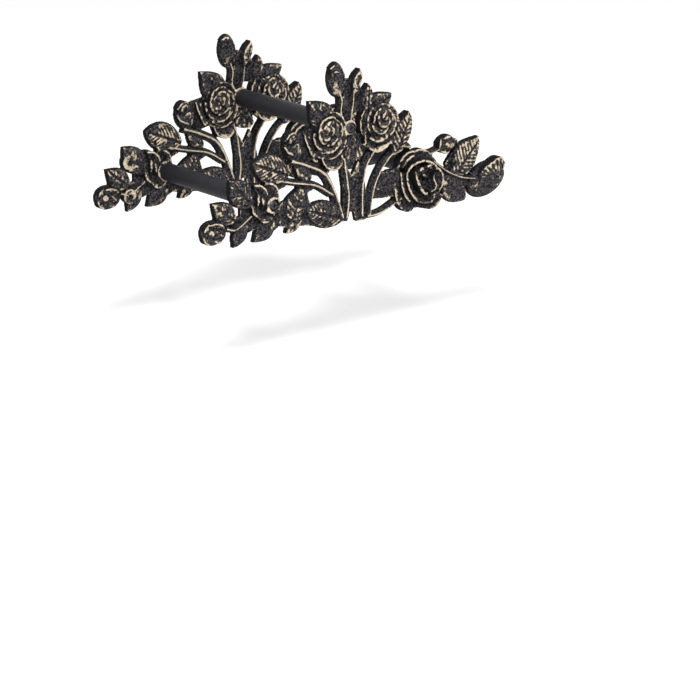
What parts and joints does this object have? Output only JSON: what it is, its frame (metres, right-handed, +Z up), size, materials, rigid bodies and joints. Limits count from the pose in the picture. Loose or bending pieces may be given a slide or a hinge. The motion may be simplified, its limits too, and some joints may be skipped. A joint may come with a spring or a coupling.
{
  "type": "hose holder",
  "caption": "Wall-mounted cast iron garden hose holder: front and back openwork plates of roses and leaves, joined by round bars that carry the coil.",
  "frame": {"origin": "centre of the four wall-screw holes, on the back plate's rear face, which lies on the wall", "axes": "+X to the right as seen from the room, +Y into the wall, +Z up"},
  "size_m": [0.332, 0.172, 0.143],
  "materials": {
    "casting": "sand-cast, charcoal-black paint with pale bronze rubbed over the raised edges",
    "bar": "charcoal-black paint, slightly rough",
    "screw": "blackened steel"
  },
  "bodies": {
    "root": {"front_plate": "casting", "back_plate": "casting", "top_bar": "bar", "left_bar": "bar", "right_bar": "bar", "top_front_screw": "screw", "left_front_screw": "screw", "right_front_screw": "screw", "top_rear_screw": "screw", "left_rear_screw": "screw", "right_rear_screw": "screw"}
  },
  "joints": []
}
